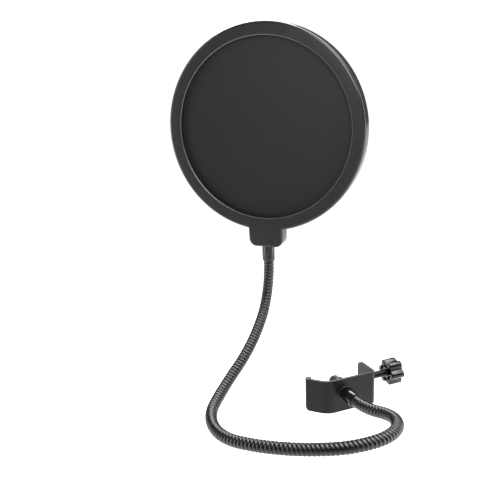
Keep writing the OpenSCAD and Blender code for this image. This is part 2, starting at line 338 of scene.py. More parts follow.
def woven_nylon(name, base, thread):
    """Tight plain weave: warp and weft waves over each other, with slubs."""
    finish = Finish(name)
    x, y, z = finish.node("ShaderNodeSeparateXYZ", {}, {0: finish.place(math.tau / thread)})
    warp = x.sine()
    weft = z.sine()
    weave = (warp * weft * 0.5 + 0.5).clamped()
    slub = finish.noise(90.0, 3.0)
    cloudy = finish.noise(14.0, 2.0)
    tone = (weave * 0.35 + slub * 0.25 + cloudy * 0.4).clamped()
    finish.feed(
        Base_Color=finish.mixed(tone, tinted(base, 0.75), tinted(base, 1.3)),
        Roughness=(0.72 + 0.12 * slub).clamped(),
        Normal=finish.bumped(weave, 0.03 * MM, 0.6),
    )
    finish.shader.inputs["Sheen Weight"].default_value = 0.08
    finish.shader.inputs["Sheen Roughness"].default_value = 0.45
    finish.shader.inputs["Specular IOR Level"].default_value = 0.15
    return finish.material


def coated_steel(name, base, roughness, grain=1400.0, height=0.012 * MM, wear=0.0, specular=0.4):
    """Painted or blacked steel: orange peel, faint streaks and lighter wear."""
    finish = Finish(name)
    peel = finish.noise(grain, 2.0, 0.5)
    streak = finish.noise(160.0, 4.0, 0.7)
    worn = ((streak - 0.62) * 6.0).clamped() * wear
    finish.feed(
        Base_Color=finish.mixed(worn, base, tinted(base, 5.0)),
        Roughness=(roughness - 0.05 + 0.12 * streak).clamped(),
        Normal=finish.bumped(peel, height),
    )
    finish.shader.inputs["Specular IOR Level"].default_value = specular
    return finish.material


def bare_metal(name, base, roughness, grain=900.0):
    """Turned or plated metal with fine tool marks."""
    finish = Finish(name)
    marks = finish.noise(grain, 3.0, 0.6)
    stain = finish.noise(60.0, 3.0)
    finish.feed(
        Base_Color=finish.mixed(stain, tinted(base, 0.75), tinted(base, 1.1)),
        Roughness=(roughness - 0.05 + 0.15 * marks).clamped(),
        Metallic=1.0,
        Normal=finish.bumped(marks, 0.006 * MM),
    )
    return finish.material


MATERIALS = {}


def make_materials():
    """Every finish of the object, made once."""
    tone = bpy.context.scene.pf_finish
    MATERIALS.update(
        ring_face=moulded_plastic("ring_face_grained", tone.ring, 0.44, 2600.0, 0.03 * MM, 0.2),
        ring_wall=moulded_plastic("ring_wall_polished", tone.ring, 0.20, 900.0, 0.0006 * MM),
        # The lip is the ring's tone painted five times lighter: a painted highlight round the edge of the
        # opening.
        ring_lip=moulded_plastic("ring_lip_painted_highlight", tinted(tone.ring, 5.0), 0.30, 900.0, 0.001 * MM),
        inner=moulded_plastic("inner_plastic", tone.ring, 0.6, 1500.0, 0.02 * MM),
        cloth=woven_nylon("screen_nylon", tone.cloth, 0.42 * MM),
        winding=coated_steel("winding_wire", tone.winding, 0.27, 2200.0, 0.006 * MM, 0.35),
        core=bare_metal("core_spring_steel", tinted(tone.zinc, 0.6), 0.35),
        ferrule=coated_steel("ferrule_gloss_black", tone.ferrule, 0.16, 700.0, 0.001 * MM, 0.1),
        strip=coated_steel("strip_powder_coat", tone.strip, 0.36, 2400.0, 0.02 * MM, 0.12, 0.2),
        knob=moulded_plastic("knob_gloss_plastic", tone.knob, 0.18, 800.0, 0.0008 * MM),
        pad=moulded_plastic("pad_plastic", tone.knob, 0.35, 1200.0, 0.01 * MM),
        blacked=coated_steel("black_oxide_steel", tone.blacked, 0.30, 1800.0, 0.006 * MM, 0.5),
        zinc=bare_metal("zinc_plate", tone.zinc, 0.32),
        brass=bare_metal("insert_brass", tone.brass, 0.28),
        rubber=moulded_plastic("pad_rubber", tone.rubber, 0.8, 1800.0, 0.05 * MM),
    )


# ---------------------------------------------------------------- modelling


def deselect():
    if bpy.context.object and bpy.context.object.mode != "OBJECT":
        bpy.ops.object.mode_set(mode="OBJECT")
    bpy.ops.object.select_all(action="DESELECT")


def only(piece):
    deselect()
    piece.select_set(True)
    bpy.context.view_layer.objects.active = piece


def named(name):
    piece = bpy.context.object
    piece.name = name
    piece.data.name = name
    return piece


def editing():
    """Goes into edit mode on the active piece and returns its edit mesh."""
    if bpy.context.object.mode != "EDIT":
        bpy.ops.object.mode_set(mode="EDIT")
    return bmesh.from_edit_mesh(bpy.context.object.data)


def pick(kind, test):
    """Selects the active piece's faces or edges for which test(element) is true."""
    mesh = editing()
    bpy.ops.mesh.select_mode(type=kind)
    bpy.ops.mesh.select_all(action="DESELECT")
    for element in mesh.faces if kind == "FACE" else mesh.edges:
        if test(element):
            element.select_set(True)
    mesh.select_flush_mode()
    bmesh.update_edit_mesh(bpy.context.object.data)


def edge_middle(edge):
    return (edge.verts[0].co + edge.verts[1].co) / 2


def edge_along(edge):
    return (edge.verts[1].co - edge.verts[0].co).normalized()


def leave_edit():
    bpy.ops.object.mode_set(mode="OBJECT")


def mend(threshold=1e-6):
    """Merges doubles and points every face outwards."""
    editing()
    bpy.ops.mesh.select_all(action="SELECT")
    bpy.ops.mesh.remove_doubles(threshold=threshold)
    bpy.ops.mesh.normals_make_consistent(inside=False)
    leave_edit()


def smooth(piece, angle=35):
    only(piece)
    bpy.ops.object.shade_smooth_by_angle(angle=math.radians(angle))


def apply_modifier(piece, kind, **settings):
    only(piece)
    modifier = piece.modifiers.new(kind.title(), kind)
    for name, value in settings.items():
        setattr(modifier, name, value)
    bpy.ops.object.modifier_apply(modifier=modifier.name)


def cut(piece, tool, operation="DIFFERENCE"):
    """Cuts a closed tool out of a piece, or joins it on, and removes the tool."""
    apply_modifier(piece, "BOOLEAN", object=tool, operation=operation, solver="EXACT")
    bpy.data.objects.remove(tool)


def baked_in_place(piece):
    """Puts the piece's place into its mesh."""
    only(piece)
    bpy.ops.object.transform_apply(location=True, rotation=True, scale=True)
    return piece


def filleted(corners, steps=4):
    """An outline whose corners (a, r, radius) are rounded by arcs."""
    outline = []
    count = len(corners)
    for number, (a, r, radius) in enumerate(corners):
        here = Vector((a, r))
        if radius <= 0:
            outline.append(here)
            continue
        before = (Vector(corners[number - 1][:2]) - here).normalized()
        after = (Vector(corners[(number + 1) % count][:2]) - here).normalized()
        half = before.angle(after) / 2
        start = here + before * radius / math.tan(half)
        end = here + after * radius / math.tan(half)
        centre = here + (before + after).normalized() * radius / math.sin(half)
        first = start - centre
        turn = first.angle_signed(end - centre)
        for step in range(steps + 1):
            outline.append(centre + Matrix.Rotation(-turn * step / steps, 2) @ first)
    return outline


def profile_loop(points, closed):
    """A loop of edges through points, from a circle with as many corners."""
    deselect()
    bpy.ops.mesh.primitive_circle_add(vertices=len(points), radius=MM, location=(0, 0, 0))
    mesh = editing()
    mesh.verts.ensure_lookup_table()
    for vert, point in zip(mesh.verts, points):
        vert.co = point
    if not closed:
        ends = {mesh.verts[0], mesh.verts[-1]}
        last = [edge for edge in mesh.edges if set(edge.verts) == ends]
        bmesh.ops.delete(mesh, geom=last, context="EDGES")
    bmesh.update_edit_mesh(bpy.context.object.data)


def turned(name, outline, base, along, steps=64, closed=True):
    """Turns an outline of (distance along, radius) about the line from base along a direction."""
    out = along.orthogonal().normalized() if abs(along.z) > 0.5 else UP
    points = [base + along * p[0] + out * p[1] for p in outline]
    profile_loop(points, closed)
    bpy.ops.mesh.select_all(action="SELECT")
    bpy.ops.mesh.spin(steps=steps, angle=math.tau, center=base, axis=along)
    leave_edit()
    piece = named(name)
    mend()
    return piece


def paint(piece, *keys):
    piece.data.materials.clear()
    for key in keys:
        piece.data.materials.append(MATERIALS[key])
    return piece


def paint_faces(piece, slot_of):
    for face in piece.data.polygons:
        face.material_index = slot_of(face)


def finished(piece, body, slot, *nodes):
    """Puts a finished piece on its body and hides the CAD nodes that it stands for; its slot is not used."""
    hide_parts(*nodes)
    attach(piece, body)
    return piece


def rod(name, base, along, radius, length, corners=48):
    """A plain closed cutting tool, never a finished piece."""
    deselect()
    bpy.ops.mesh.primitive_cylinder_add(
        vertices=corners, radius=radius, depth=length, location=base + along * length / 2,
        rotation=along.to_track_quat("Z", "Y").to_euler(),
    )
    return baked_in_place(named(name))


def block(name, low, high):
    """A box between two corners, as a start."""
    deselect()
    bpy.ops.mesh.primitive_cube_add(size=1, location=(low + high) / 2, scale=high - low)
    return baked_in_place(named(name))


# ---------------------------------------------------------------- head


def tab_block(low_y, high_y, face_y):
    """The tab: a block with round lower corners, a slight taper and a rounded face edge."""
    sizes = bpy.context.scene.pf_head
    half = sizes.tab_width / 2
    top = HEAD.z - RING_R + 3.2 * MM
    piece = block("tab", Vector((HEAD.x - half, low_y, TAB_LOW)), Vector((HEAD.x + half, high_y, top)))
    pick("EDGE", lambda e: abs(edge_along(e).y) > 0.9 and edge_middle(e).z < TAB_LOW + MM)
    bpy.ops.mesh.bevel(offset=sizes.tab_corner, segments=10, affect="EDGES")
    mesh = editing()
    for vert in mesh.verts:
        drop = (top - vert.co.z) / (top - TAB_LOW)
        vert.co.x = HEAD.x + (vert.co.x - HEAD.x) * (1 - 0.035 * drop)
    bmesh.update_edit_mesh(bpy.context.object.data)
    pick("EDGE", lambda e: all(abs(v.co.y - face_y) < 1e-6 for v in e.verts)
         and edge_middle(e).z < top - 0.1 * MM)
    bpy.ops.mesh.bevel(offset=1.3 * MM, segments=4, affect="EDGES")
    leave_edit()
    return piece


def shell(name, face_y, into):
    """One half of the head: a turned ring with a lip over the screen, joined to half of the tab."""
    sizes = bpy.context.scene.pf_head
    seam = 0.02 * MM
    seat = RING_R - 4.5 * MM
    depth = abs(HEAD.y - face_y)
    outline = filleted([
        (0, sizes.opening + sizes.lip, 0.15 * MM),
        (sizes.lip, sizes.opening, 0.15 * MM),
        (sizes.recess, sizes.opening, 0),
        (sizes.recess, seat, 0),
        (depth, seat, 0),
        (depth, RING_R - seam, 0),
        (depth - seam, RING_R, 0),
        (0, RING_R, sizes.edge),
    ], 6)
    base = Vector((HEAD.x, face_y, HEAD.z))
    piece = turned(name, outline, base, Vector((0, into, 0)), sizes.steps)
    tab = tab_block(min(face_y, HEAD.y), max(face_y, HEAD.y), face_y)
    cut(piece, tab, "UNION")
    below = Vector((HEAD.x, HEAD.y, TAB_LOW - MM))
    cut(piece, rod("ferrule_socket", below, UP, 4.95 * MM, 4.5 * MM))
    cut(piece, rod("insert_socket", below, UP, 3.8 * MM, 12.5 * MM))
    return piece


def paint_shell(piece, face_y):
    """Grained on the face, polished on the wall, with a painted highlight on the lip."""
    sizes = bpy.context.scene.pf_head
    rim = sizes.opening + sizes.lip + 0.1 * MM

    def finish(face):
        if abs(face.center.y - face_y) < 0.02 * MM:
            return 0
        out = math.hypot(face.center.x - HEAD.x, face.center.z - HEAD.z)
        # Faces of the lip round the opening get slot 2, the painted highlight.
        return 2 if out < rim and abs(face.center.y - face_y) < sizes.lip else 1

    paint(piece, "ring_face", "ring_wall", "ring_lip")
    paint_faces(piece, finish)
    smooth(piece, 32)


def screw_place(side):
    """Where a tab screw stands, on the head's mid plane."""
    low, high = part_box("tab_screws")
    reach = (high[0] - low[0]) / 2 - 2.3 * MM
    return Vector((HEAD.x + side * reach, HEAD.y, (low[2] + high[2]) / 2))


class PF_OT_front_shell(Operator):
    """Model the front ring with its half of the tab"""

    bl_idname = "pop_filter.front_shell"
    bl_label = "Front shell"

    def execute(self, context):
        piece = shell("front_shell", FRONT_Y, 1)
        paint_shell(piece, FRONT_Y)
        finished(piece, "head", "ring_plastic", "front_ring")
        return {"FINISHED"}


class PF_OT_rear_shell(Operator):
    """Model the rear ring with its half of the tab and the two screw wells"""

    bl_idname = "pop_filter.rear_shell"
    bl_label = "Rear shell"

    def execute(self, context):
        piece = shell("rear_shell", BACK_Y, -1)
        for side in (-1, 1):
            well = screw_place(side)
            well.y = BACK_Y - 1.75 * MM
            cut(piece, rod("screw_well", well, Vector((0, 1, 0)), 2.45 * MM, 3 * MM, 32))
        paint_shell(piece, BACK_Y)
        finished(piece, "head", "ring_plastic", "rear_ring")
        return {"FINISHED"}


def cloth_disc(name, node, bulge):
    """A stretched disc of cloth with its thickness, crowned very slightly between its edges."""
    low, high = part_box(node)
    radius = (high[0] - low[0]) / 2 - 0.1 * MM
    deselect()
    bpy.ops.mesh.primitive_circle_add(
        vertices=96, radius=radius, fill_type="NGON", location=((low[0] + high[0]) / 2, low[1], HEAD.z),
        rotation=(math.radians(90), 0, 0),
    )
    piece = baked_in_place(named(name))
    editing()
    bpy.ops.mesh.select_all(action="SELECT")
    for _ in range(12):
        bpy.ops.mesh.inset(thickness=radius / 13, depth=0)
    mesh = editing()
    for vert in mesh.verts:
        out = math.hypot(vert.co.x - HEAD.x, vert.co.z - HEAD.z) / radius
        vert.co.y += bulge * max(0.0, 1 - out * out)
    bmesh.update_edit_mesh(piece.data)
    leave_edit()
    inward = 1 if (piece.data.polygons[0].normal.y < 0) else -1
    apply_modifier(piece, "SOLIDIFY", thickness=(high[1] - low[1]) * 0.9, offset=-inward)
    mend()
    smooth(piece, 30)
    return piece


class PF_OT_screens(Operator):
    """Model the two screens of woven nylon"""

    bl_idname = "pop_filter.screens"
    bl_label = "Screens"

    def execute(self, context):
        for name, node, bulge in (
            ("front_cloth", "front_screen", 0.25 * MM),
            ("rear_cloth", "rear_screen", -0.25 * MM),
        ):
            piece = paint(cloth_disc(name, node, bulge), "cloth")
            finished(piece, "head", "screen_fabric", node)
        return {"FINISHED"}


class PF_OT_tab_screws(Operator):
    """Model the two pan-head screws in the back of the tab"""

    bl_idname = "pop_filter.tab_screws"
    bl_label = "Tab screws"

    def execute(self, context):
        low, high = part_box("tab_screws")
        head_back = high[1]
        pair = []
        for side in (-1, 1):
            base = screw_place(side)
            base.y = head_back
            outline = filleted([
                (0, 0, 0),
                (0, 2.25 * MM, 0.7 * MM),
                (1.4 * MM, 2.25 * MM, 0),
                (1.4 * MM, 1.25 * MM, 0),
                (head_back - low[1] - 1.2 * MM, 1.25 * MM, 0),
                (head_back - low[1], 0, 0),
            ], 4)
            outline = [p for p in outline if p.y > 1e-9 or p.x in (0, head_back - low[1])]
            piece = turned("tab_screw", outline, base, Vector((0, -1, 0)), 32, closed=False)
            for turn in (0, 90):
                deselect()
                bpy.ops.mesh.primitive_cube_add(
                    size=1, location=base, scale=(2.6 * MM, 1.5 * MM, 0.5 * MM),
                    rotation=(0, math.radians(turn + 45), 0),
                )
                cut(piece, baked_in_place(named("cross_slot")))
            pair.append(piece)
        only(pair[0])
        pair[1].select_set(True)
        bpy.ops.object.join()
        piece = paint(named("tab_screw_pair"), "blacked")
        smooth(piece)
        finished(piece, "head", "black_screw_steel", "tab_screws")
        return {"FINISHED"}


# ---------------------------------------------------------------- gooseneck

# The route from the clamp to the head: tangent arcs that turn from one direction to the next
HEADINGS = (-45, -26, -129, -164, -195, -264, -279, -266, -266)
CLIMBS = (0, 10, 0, -5, -7, 7, 21, 28, 90)
ARC_LENGTHS = (23, 52, 30, 60, 54, 38, 54, 46)
TOP_STRAIGHT = 2
# Arcs before each flexing place, and the bodies on its two sides
FLEXES = (
    (1, "clamp", "neck_front"),
    (3, "neck_front", "neck_middle"),
    (5, "neck_middle", "neck_stem"),
    (7, "neck_stem", "head"),
)


def direction(heading, climb):
    heading = math.radians(heading)
    climb = math.radians(climb)
    return Vector((
        math.cos(climb) * math.cos(heading),
        math.cos(climb) * math.sin(heading),
        math.sin(climb),
    ))


DIRECTIONS = [direction(*pair) for pair in zip(HEADINGS, CLIMBS)]


def neck_start():
    """The neck's visible lower end, at the mouth of the clamp's ferrule."""
    low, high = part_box("bottom_ferrule")
    across = size("bottom_ferrule").z
    length = (size("bottom_ferrule").x - across * math.sqrt(0.5)) * math.sqrt(2)
    return middle("bottom_ferrule") - CLAMP_BACK * length / 2


def route():
    """Points and tangents along the neck, three knots to an arc."""
    place = neck_start()
    knots = [(place - DIRECTIONS[0] * 10 * MM, DIRECTIONS[0]), (place, DIRECTIONS[0])]
    for first, second, length in zip(DIRECTIONS, DIRECTIONS[1:], ARC_LENGTHS):
        bend = first.angle(second)
        radius = length * MM / bend
        across = (second - first * math.cos(bend)).normalized()
        start = place
        for part in (1, 2, 3):
            turn = bend * part / 3
            place = start + radius * (first * math.sin(turn) + across * (1 - math.cos(turn)))
            along = first * math.cos(turn) + across * math.sin(turn)
            knots.append((place, along))
    end = place + UP * (TOP_STRAIGHT * MM + 10 * MM)
    knots.append((end, UP))
    return knots


def route_curve():
    """The neck's centre line as a Bezier curve."""
    knots = route()
    deselect()
    bpy.ops.curve.primitive_bezier_curve_add(location=(0, 0, 0))
    line = named("neck_route")
    spline = line.data.splines[0]
    spline.bezier_points.add(len(knots) - 2)
    spline.resolution_u = 24
    line.data.twist_mode = "MINIMUM"
    line.data.use_stretch = False
    for number, (place, along) in enumerate(knots):
        point = spline.bezier_points[number]
        point.handle_left_type = "FREE"
        point.handle_right_type = "FREE"
        before = (place - knots[number - 1][0]).length / 3 if number else 0
        after = (knots[number + 1][0] - place).length / 3 if number + 1 < len(knots) else 0
        point.co = place
        point.handle_left = place - along * before
        point.handle_right = place + along * after
    return line


def wire_profile(pitch, radius, groove):
    """One turn of the winding, seen from the side: a broad round crest and a narrow groove."""
    count = 7
    points = []
    for number in range(count):
        phase = number / (count - 1)
        crest = math.sin(math.pi * phase) ** 0.55
        points.append(Vector((phase * pitch, radius - groove * (1 - crest), 0)))
    return points


def wound(name, start, end, line, radius, pitch, groove, steps):
    """A helical winding from start to end along the neck, bent to its route."""
    turns = math.ceil((end - start) / pitch) + 3
    first = math.floor(start / pitch) - 1
    points = [p + Vector((first * pitch, 0, 0)) for p in wire_profile(pitch, radius, groove)]
    profile_loop(points, closed=False)
    leave_edit()
    piece = named(name)
    apply_modifier(
        piece, "SCREW", axis="X", angle=math.tau, screw_offset=pitch, iterations=turns,
        steps=steps, render_steps=steps, use_merge_vertices=True, merge_threshold=1e-7,
    )
    for place, normal in ((start, (-1, 0, 0)), (end, (1, 0, 0))):
        editing()
        bpy.ops.mesh.select_all(action="SELECT")
        bpy.ops.mesh.bisect(
            plane_co=(place, 0, 0), plane_no=normal, use_fill=True, clear_outer=True,
        )
    mend(1e-7)
    apply_modifier(piece, "CURVE", object=line, deform_axis="POS_X")
    smooth(piece, 50)
    return piece


def neck_marks():
    """Distance along the route curve of each knot between two arcs."""
    marks = [10 * MM]
    for length in ARC_LENGTHS:
        marks.append(marks[-1] + length * MM)
    return marks


def along_route(distance):
    """The point at a distance along the route."""
    place = neck_start()
    left = distance - 10 * MM
    if left <= 0:
        return place + DIRECTIONS[0] * left
    for first, second, length in zip(DIRECTIONS, DIRECTIONS[1:], ARC_LENGTHS):
        bend = first.angle(second)
        radius = length * MM / bend
        across = (second - first * math.cos(bend)).normalized()
        turn = min(left / radius, bend)
        place = place + radius * (first * math.sin(turn) + across * (1 - math.cos(turn)))
        left -= length * MM
        if left <= 0:
            return place
    return place + UP * left


def neck_spans(insertion):
    """For each flexing place, the stretch that bends over it."""
    marks = neck_marks()
    ends = [marks[0] - insertion]
    for flex, after in zip(FLEXES, FLEXES[1:]):
        ends.append((marks[flex[0]] + marks[after[0]]) / 2)
    ends.append(marks[-1] + TOP_STRAIGHT * MM + insertion)
    return list(zip(ends, ends[1:]))


def bent_over(piece, span, flex, insertion):
    """Works out the ends of a piece's stretch over one flexing place, less the part inside a ferrule, and
    bakes the piece's place into its mesh.
    """
    start, end = span
    _, lower, upper = flex
    if lower == "clamp":
        start += insertion
    if upper == "head":
        end -= insertion
    along_route(start)
    along_route(end)
    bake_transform(piece)


class PF_OT_winding(Operator):
    """Wind the neck's outer wire along its route, in four pieces that each span one flexing place"""

    bl_idname = "pop_filter.winding"
    bl_label = "Winding"

    def execute(self, context):
        sizes = context.scene.pf_neck
        line = route_curve()
        nodes = (("neck_winding_1", "neck_winding_2"), ("neck_winding_3",),
                 ("neck_winding_4",), ("neck_winding_5",))
        for number, (span, flex) in enumerate(zip(neck_spans(sizes.insertion), FLEXES)):
            piece = wound(
                f"winding_{number + 1}", *span, line, sizes.radius, sizes.pitch, sizes.groove, sizes.steps
            )
            paint(piece, "winding")
            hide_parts(*nodes[number])
            bent_over(piece, span, flex, sizes.insertion)
        bpy.data.objects.remove(line)
        return {"FINISHED"}


class PF_OT_core(Operator):
    """Wind the spring inside the neck"""

    bl_idname = "pop_filter.core"
    bl_label = "Core spring"

    def execute(self, context):
        sizes = context.scene.pf_neck
        line = route_curve()
        nodes = (("neck_core_1", "neck_core_2"), ("neck_core_3",), ("neck_core_4",), ("neck_core_5",))
        for number, (span, flex) in enumerate(zip(neck_spans(sizes.insertion), FLEXES)):
            piece = wound(
                f"core_spring_{number + 1}", *span, line, sizes.core, 1.8 * MM, 0.4 * MM, 12
            )
            paint(piece, "core")
            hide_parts(*nodes[number])
            bent_over(piece, span, flex, sizes.insertion)
        bpy.data.objects.remove(line)
        return {"FINISHED"}


def sleeve(name, mouth, along, length, radius, bore, bore_depth):
    """A ferrule: a turned sleeve with rounded ends and a bore for the neck."""
    outline = filleted([
        (0, bore, 0.15 * MM),
        (0, radius, 0.35 * MM),
        (length, radius, 0.35 * MM),
        (length, 2.5 * MM, 0.1 * MM),
        (bore_depth, 2.5 * MM, 0),
        (bore_depth, bore, 0),
    ], 4)
    return turned(name, outline, mouth, along, 64)


class PF_OT_ferrules(Operator):
    """Turn the two ferrules at the ends of the neck"""

    bl_idname = "pop_filter.ferrules"
    bl_label = "Ferrules"

    def execute(self, context):
        low, high = (Vector(corner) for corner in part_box("top_ferrule"))
        radius = (high.x - low.x) / 2
        mouth = Vector(((low.x + high.x) / 2, (low.y + high.y) / 2, low.z))
        top = sleeve("top_sleeve", mouth, UP, high.z - low.z, radius, 4.15 * MM, 8 * MM)
        smooth(paint(top, "ferrule"), 40)
        finished(top, "head", "ferrule_black", "top_ferrule")
        start = neck_start()
        length = 2 * (middle("bottom_ferrule") - start).length
        bottom = sleeve("clamp_sleeve", start, CLAMP_BACK, length, radius, 4.15 * MM, 8 * MM)
        smooth(paint(bottom, "ferrule"), 40)
        finished(bottom, "clamp", "ferrule_black", "bottom_ferrule")
        return {"FINISHED"}


# ---------------------------------------------------------------- clamp


def corner_tool(corner, along, across, radius):
    """What a rounded corner takes off a plate: a block less a rod."""
    span = 5 * MM
    deselect()
    bpy.ops.mesh.primitive_cube_add(size=1, location=(0, 0, 0))
    piece = named("corner_tool")
    through = along.cross(across)
    mesh = editing()
    for vert in mesh.verts:
        a = (vert.co.x + 0.5) * (radius + span) - radius
        b = (vert.co.y + 0.5) * (radius + span) - radius
        vert.co = corner + along * a + across * b + through * vert.co.z * 16 * MM
    bmesh.update_edit_mesh(piece.data)
    leave_edit()
    mend()
    inside = corner - (along + across) * radius
    cut(piece, rod("corner_round", inside - through * 10 * MM, through, radius, 20 * MM, 48))
    return piece


class PF_OT_strip(Operator):
    """Bend the clamp's steel strip, with its flange, jaw, rolled edge and holes"""

    bl_idname = "pop_filter.strip"
    bl_label = "Clamp strip"

    def execute(self, context):
        sizes = context.scene.pf_clamp
        thick = sizes.thickness
        half = sizes.height / 2
        flange_x = 32.5 * MM
        flange_y = 7.5 * MM
        back_y = -14 * MM
        corner_r = 3.5 * MM
        jaw_r = 12 * MM
        jaw_x = -6.3 * MM
        deselect()
        bpy.ops.mesh.primitive_plane_add(size=1, location=(0, 0, 0))
        piece = named("clamp_strip")
        mesh = editing()
        for vert in mesh.verts:
            across = flange_x if vert.co.x > 0 else flange_x - thick
            vert.co = clamp_point(across, flange_y, half if vert.co.y > 0 else -half)
        bmesh.update_edit_mesh(piece.data)
        bpy.ops.mesh.select_all(action="SELECT")

        def push(vector):
            bpy.ops.mesh.extrude_region_move(TRANSFORM_OT_translate={"value": vector})

        def turn(centre, angle, steps):
            bpy.ops.mesh.spin(steps=steps, angle=angle, center=centre, axis=(0, 0, 1))

        push(clamp_point(0, back_y + corner_r - flange_y, 0))
        turn(clamp_point(flange_x - corner_r, back_y + corner_r, 0), math.pi / 2, 12)
        tangent = jaw_r * math.tan(sizes.jaw_bend / 2)
        push(clamp_point(jaw_x + tangent - flange_x + corner_r, 0, 0))
        turn(clamp_point(jaw_x + tangent, back_y + jaw_r, 0), sizes.jaw_bend, 10)
        along = clamp_point(-math.cos(sizes.jaw_bend), math.sin(sizes.jaw_bend), 0)
        inward = clamp_point(math.sin(sizes.jaw_bend), math.cos(sizes.jaw_bend), 0)
        push(along * (sizes.jaw_length - tangent))
        roll_end = clamp_point(jaw_x, back_y, 0) + along * sizes.jaw_length + inward * sizes.roll
        turn(roll_end, math.radians(262), 26)
        leave_edit()
        mend()
        low_jaw = roll_end + along * sizes.roll - inward * sizes.roll - UP * half
        cut(piece, corner_tool(low_jaw, along, -UP, sizes.corner))
        for side in (UP, -UP):
            tip = clamp_point(flange_x - thick / 2, flange_y, 0) + side * half
            cut(piece, corner_tool(tip, CLAMP_BACK, side, sizes.corner))
        hole = clamp_point(flange_x - thick - MM, 0, HOLE_Z)
        cut(piece, rod("screw_hole", hole, SCREW_ALONG, 2.6 * MM, thick + 2 * MM, 40))
        bolt = middle("bottom_ferrule")
        bolt = clamp_point(bolt.dot(SCREW_ALONG), back_y - MM, bolt.z)
        cut(piece, rod("bolt_hole", bolt, CLAMP_BACK, 2.65 * MM, thick + 2 * MM, 40))
        apply_modifier(
            piece, "BEVEL", width=0.28 * MM, segments=2, limit_method="ANGLE",
            angle_limit=math.radians(50), use_clamp_overlap=True,
        )
        smooth(paint(piece, "strip"), 35)
        apply_modifier(piece, "WEIGHTED_NORMAL", keep_sharp=True)
        finished(piece, "clamp", "bracket_black", "clamp_bracket")
        return {"FINISHED"}


class PF_OT_neck_bolt(Operator):
    """Turn the countersunk bolt that holds the neck's ferrule to the clamp"""

    bl_idname = "pop_filter.neck_bolt"
    bl_label = "Neck bolt"

    def execute(self, context):
        axis = middle("bottom_ferrule")
        head = clamp_point(axis.dot(SCREW_ALONG), -12 * MM, axis.z)
        outline = [
            Vector((0, 0)), Vector((0, 4.3 * MM)), Vector((0.2 * MM, 4.4 * MM)),
            Vector((1.9 * MM, 2.45 * MM)), Vector((6.6 * MM, 2.45 * MM)), Vector((6.8 * MM, 0)),
        ]
        piece = turned("neck_bolt_turned", outline, head, -CLAMP_BACK, 48, closed=False)
        socket = rod("hex_socket", head + CLAMP_BACK * MM, -CLAMP_BACK, 1.7 * MM, 2.6 * MM, 6)
        cut(piece, socket)
        smooth(paint(piece, "blacked"), 35)
        finished(piece, "clamp", "black_screw_steel", "neck_bolt")
        return {"FINISHED"}


# ---------------------------------------------------------------- thumbscrew


class PF_OT_thread(Operator):
    """Cut the clamp screw's thread and turn its plain tip"""

    bl_idname = "pop_filter.thread"
    bl_label = "Clamp screw"

    def execute(self, context):
        pitch = context.scene.pf_clamp.thread_pitch
        low = 13 * MM
        high = 57 * MM
        turns = math.ceil((high - low) / pitch) + 2
        crest, root = 2.5 * MM, 2.08 * MM
        shape = ((0, root), (0.12, root), (0.44, crest), (0.56, crest), (0.88, root), (1, root))
        points = [Vector((low - pitch + x * pitch, r, 0)) for x, r in shape]
        profile_loop(points, closed=False)
        leave_edit()
        piece = named("clamp_thread")
        apply_modifier(
            piece, "SCREW", axis="X", angle=math.tau, screw_offset=pitch, iterations=turns,
            steps=24, render_steps=24, use_merge_vertices=True, merge_threshold=1e-7,
        )
        for place, normal in ((low, (-1, 0, 0)), (high, (1, 0, 0))):
            editing()
            bpy.ops.mesh.select_all(action="SELECT")
            bpy.ops.mesh.bisect(
                plane_co=(place, 0, 0), plane_no=normal, use_fill=True, clear_outer=True,
            )
        leave_edit()
        piece.location = (0, 0, HOLE_Z)
        piece.rotation_euler = (0, 0, math.radians(45))
        baked_in_place(piece)
        mend(1e-7)
        tip = turned("tip", [
            Vector((0, 0)), Vector((0, 1.8 * MM)), Vector((0.2 * MM, 2 * MM)),
            Vector((2.0 * MM, 2 * MM)), Vector((2.0 * MM, 1.65 * MM)), Vector((2.7 * MM, 1.65 * MM)),
            Vector((2.7 * MM, 2 * MM)), Vector((4.2 * MM, 2 * MM)), Vector((4.2 * MM, 0)),
        ], clamp_point(9 * MM, 0, HOLE_Z), SCREW_ALONG, 40, closed=False)
        cut(piece, tip, "UNION")
        smooth(paint(piece, "blacked"), 40)
        finished(piece, "thumbscrew", "black_screw_steel", "clamp_screw")
        return {"FINISHED"}


def lobed(angle, radius, depth):
    """The knob's outline: six broad lobes with round valleys between them."""
    wave = math.cos(6 * angle)
    return radius - depth * (0.5 - 0.5 * wave) ** 1.35


